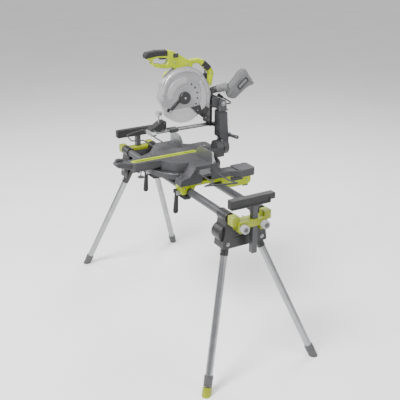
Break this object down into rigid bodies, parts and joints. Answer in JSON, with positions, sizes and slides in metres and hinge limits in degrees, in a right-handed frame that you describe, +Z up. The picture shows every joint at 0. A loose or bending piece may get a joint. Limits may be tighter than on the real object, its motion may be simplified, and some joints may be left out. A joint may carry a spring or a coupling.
{
  "type": "mitre saw on stand",
  "caption": "Sliding compound mitre saw bolted to a folding four-legged work stand with telescopic work supports.",
  "frame": {"origin": "on the floor under the middle of the stand", "axes": "+X to the operator's right along the rails, +Y away from the operator, +Z up"},
  "size_m": [1.603, 0.8226, 1.4959],
  "materials": {
    "dark_metal": "satin charcoal powder coat",
    "steel": "zinc plated",
    "silver_tube": "bright drawn tube",
    "black_plastic": "fine grained moulding",
    "lime_paint": "gloss lime paint",
    "lime_plastic": "smooth moulding",
    "cast_grey": "painted aluminium casting",
    "guard_grey": "satin silver paint",
    "machined": "machined",
    "rubber": "soft grip",
    "clear_knob": "pale moulding",
    "blade_steel": "ground",
    "copper_core": "laminated rotor",
    "bag_cloth": "woven",
    "cord_jacket": "smooth jacket"
  },
  "bodies": {
    "stand_frame": {"rails": "dark_metal", "cross_brace": "dark_metal", "leg_pivots": "steel", "rail_caps": "black_plastic", "end_housing_right": "black_plastic", "end_housing_left": "black_plastic"},
    "leg_right_front": {"leg_right_front": "silver_tube"},
    "levelling_foot": {"levelling_foot": "lime_plastic"},
    "leg_right_rear": {"leg_right_rear": "silver_tube"},
    "support_arm_right": {"support_carrier_right": "lime_plastic"},
    "work_support_right": {"work_support_right": "dark_metal"},
    "clamp_knob_right_front": {"clamp_knob_right_front": "clear_knob"},
    "clamp_knob_right_rear": {"clamp_knob_right_rear": "clear_knob"},
    "leg_left_front": {"leg_left_front": "silver_tube"},
    "leg_left_rear": {"leg_left_rear": "silver_tube"},
    "support_arm_left": {"support_carrier_left": "lime_plastic"},
    "work_support_left": {"work_support_left": "dark_metal"},
    "clamp_knob_left_front": {"clamp_knob_left_front": "clear_knob"},
    "clamp_knob_left_rear": {"clamp_knob_left_rear": "clear_knob"},
    "saw_mount": {"saw_bracket_right": "lime_paint", "saw_bracket_left": "lime_paint", "bracket_fittings": "black_plastic", "saw_base": "cast_grey", "mitre_scale": "machined", "fence_right": "machined", "saw_bolts": "steel"},
    "bracket_lever_right": {"bracket_lever_right": "rubber"},
    "support_loop_right": {"support_loop_right": "dark_metal"},
    "bracket_lever_left": {"bracket_lever_left": "rubber"},
    "support_loop_left": {"support_loop_left": "dark_metal"},
    "turntable": {"turntable": "cast_grey", "kerf_insert": "lime_plastic"},
    "mitre_latch": {"mitre_latch": "lime_plastic"},
    "front_foot": {"front_foot": "steel"},
    "fence_left": {"fence_left": "machined"},
    "bevel_arm": {"bevel_arm": "cast_grey"},
    "bevel_lever": {"bevel_lever": "black_plastic"},
    "slide_carriage": {"slide_rods": "steel", "lock_box": "black_plastic", "head_carriage": "cast_grey"},
    "slide_lock_knob": {"slide_lock_knob": "steel"},
    "head": {"head_casting": "cast_grey", "upper_guard": "guard_grey", "guard_covers": "cast_grey", "motor_housing": "lime_plastic", "main_handle": "lime_plastic", "handle_grips": "rubber", "laser_module": "black_plastic", "dust_port": "black_plastic", "cord_relief": "rubber", "cord_lead": "cord_jacket", "cord_coil": "cord_jacket", "plug": "rubber"},
    "lower_guard": {"lower_guard": "guard_grey"},
    "armature": {"armature": "copper_core"},
    "blade": {"blade": "blade_steel", "arbor_set": "steel"},
    "trigger": {"trigger": "black_plastic"},
    "dust_bag": {"dust_bag": "bag_cloth"}
  },
  "joints": [
    {"name": "leg_right_front_fold", "type": "hinge", "parent": "stand_frame", "child": "leg_right_front", "pos_m": [0.536, -0.066, 0.722], "axis": [0, 0.9425, -0.3342], "range_deg": [0, 105]},
    {"name": "levelling_foot_screw", "type": "slide", "parent": "leg_right_front", "child": "levelling_foot", "axis": [0.3012, -0.3187, -0.8987], "range_m": [0, 0.02]},
    {"name": "leg_right_rear_fold", "type": "hinge", "parent": "stand_frame", "child": "leg_right_rear", "pos_m": [0.536, 0.066, 0.722], "axis": [0, 0.9425, 0.3342], "range_deg": [0, 105]},
    {"name": "support_arm_right_slide", "type": "slide", "parent": "stand_frame", "child": "support_arm_right", "axis": [1, 0, 0], "range_m": [0, 0.38]},
    {"name": "work_support_right_lift", "type": "slide", "parent": "support_arm_right", "child": "work_support_right", "axis": [0, 0, 1], "range_m": [-0.04, 0.1]},
    {"name": "clamp_knob_right_front_turn", "type": "hinge", "parent": "support_arm_right", "child": "clamp_knob_right_front", "pos_m": [0.67, -0.058, 0.766], "axis": [1, 0, 0], "continuous": true},
    {"name": "clamp_knob_right_rear_turn", "type": "hinge", "parent": "support_arm_right", "child": "clamp_knob_right_rear", "pos_m": [0.67, 0.058, 0.766], "axis": [1, 0, 0], "continuous": true},
    {"name": "leg_left_front_fold", "type": "hinge", "parent": "stand_frame", "child": "leg_left_front", "pos_m": [-0.536, -0.066, 0.722], "axis": [0, -0.9425, 0.3342], "range_deg": [0, 84]},
    {"name": "leg_left_rear_fold", "type": "hinge", "parent": "stand_frame", "child": "leg_left_rear", "pos_m": [-0.536, 0.066, 0.722], "axis": [0, -0.9425, -0.3342], "range_deg": [0, 84]},
    {"name": "support_arm_left_slide", "type": "slide", "parent": "stand_frame", "child": "support_arm_left", "axis": [-1, 0, 0], "range_m": [0, 0.38]},
    {"name": "work_support_left_lift", "type": "slide", "parent": "support_arm_left", "child": "work_support_left", "axis": [0, 0, 1], "range_m": [-0.04, 0.1]},
    {"name": "clamp_knob_left_front_turn", "type": "hinge", "parent": "support_arm_left", "child": "clamp_knob_left_front", "pos_m": [-0.67, -0.058, 0.766], "axis": [-1, 0, 0], "continuous": true},
    {"name": "clamp_knob_left_rear_turn", "type": "hinge", "parent": "support_arm_left", "child": "clamp_knob_left_rear", "pos_m": [-0.67, 0.058, 0.766], "axis": [-1, 0, 0], "continuous": true},
    {"name": "saw_mount_slide", "type": "slide", "parent": "stand_frame", "child": "saw_mount", "axis": [1, 0, 0], "range_m": [-0.08, 0.08]},
    {"name": "bracket_lever_right_swing", "type": "hinge", "parent": "saw_mount", "child": "bracket_lever_right", "pos_m": [0.178, -0.15, 0.8], "axis": [-1, 0, 0], "range_deg": [0, 100]},
    {"name": "support_loop_right_slide", "type": "slide", "parent": "saw_mount", "child": "support_loop_right", "axis": [1, 0, 0], "range_m": [0, 0.045]},
    {"name": "bracket_lever_left_swing", "type": "hinge", "parent": "saw_mount", "child": "bracket_lever_left", "pos_m": [-0.178, -0.15, 0.8], "axis": [-1, 0, 0], "range_deg": [0, 100]},
    {"name": "support_loop_left_slide", "type": "slide", "parent": "saw_mount", "child": "support_loop_left", "axis": [-1, 0, 0], "range_m": [0, 0.045]},
    {"name": "mitre", "type": "hinge", "parent": "saw_mount", "child": "turntable", "pos_m": [0, -0.012, 0.845], "axis": [0, 0, 1], "range_deg": [-45, 45]},
    {"name": "mitre_latch_press", "type": "slide", "parent": "turntable", "child": "mitre_latch", "axis": [0, 0, -1], "range_m": [0, 0.003], "stiffness_N_per_m": 900},
    {"name": "front_foot_screw", "type": "slide", "parent": "turntable", "child": "front_foot", "axis": [0, 0, -1], "range_m": [0, 0.012]},
    {"name": "fence_left_slide", "type": "slide", "parent": "saw_mount", "child": "fence_left", "axis": [-1, 0, 0], "range_m": [0, 0.171]},
    {"name": "bevel", "type": "hinge", "parent": "turntable", "child": "bevel_arm", "pos_m": [0, 0.224, 0.937], "axis": [0, -1, 0], "range_deg": [0, 45]},
    {"name": "bevel_lever_swing", "type": "hinge", "parent": "bevel_arm", "child": "bevel_lever", "pos_m": [0, 0.274, 0.995], "axis": [0, -1, 0], "range_deg": [0, 50]},
    {"name": "head_slide", "type": "slide", "parent": "bevel_arm", "child": "slide_carriage", "axis": [0, -1, 0], "range_m": [0, 0.19]},
    {"name": "slide_lock_knob_turn", "type": "hinge", "parent": "slide_carriage", "child": "slide_lock_knob", "pos_m": [-0.084, -0.112, 1.145], "axis": [0, 0, 1], "continuous": true},
    {"name": "chop", "type": "hinge", "parent": "slide_carriage", "child": "head", "pos_m": [0, 0.218, 1.185], "axis": [1, 0, 0], "range_deg": [0, 47], "stiffness_Nm_per_rad": 14, "springref_deg": -108.86},
    {"name": "lower_guard_swing", "type": "hinge", "parent": "head", "child": "lower_guard", "pos_m": [0, -0.012, 1.242], "axis": [1, 0, 0], "range_deg": [-193, 0]},
    {"name": "armature_spin", "type": "hinge", "parent": "head", "child": "armature", "pos_m": [-0.12, 0, 1.305], "axis": [1, 0, 0], "continuous": true},
    {"name": "blade_spin", "type": "hinge", "parent": "head", "child": "blade", "pos_m": [0, -0.012, 1.242], "axis": [1, 0, 0], "continuous": true},
    {"name": "trigger_pull", "type": "slide", "parent": "head", "child": "trigger", "axis": [0, 0, 1], "range_m": [0, 0.004], "stiffness_N_per_m": 600},
    {"name": "dust_bag_pull_off", "type": "slide", "parent": "head", "child": "dust_bag", "axis": [0.4865, 0.8339, 0.2606], "range_m": [0, 0.06]}
  ],
  "couplings": [
    {"joint": "lower_guard_swing", "follows": "chop", "ratio": -4.08},
    {"joint": "fence_left_slide", "follows": "bevel", "m_per_rad": 0.2165},
    {"joint": "blade_spin", "follows": "armature_spin", "ratio": -0.25}
  ]
}
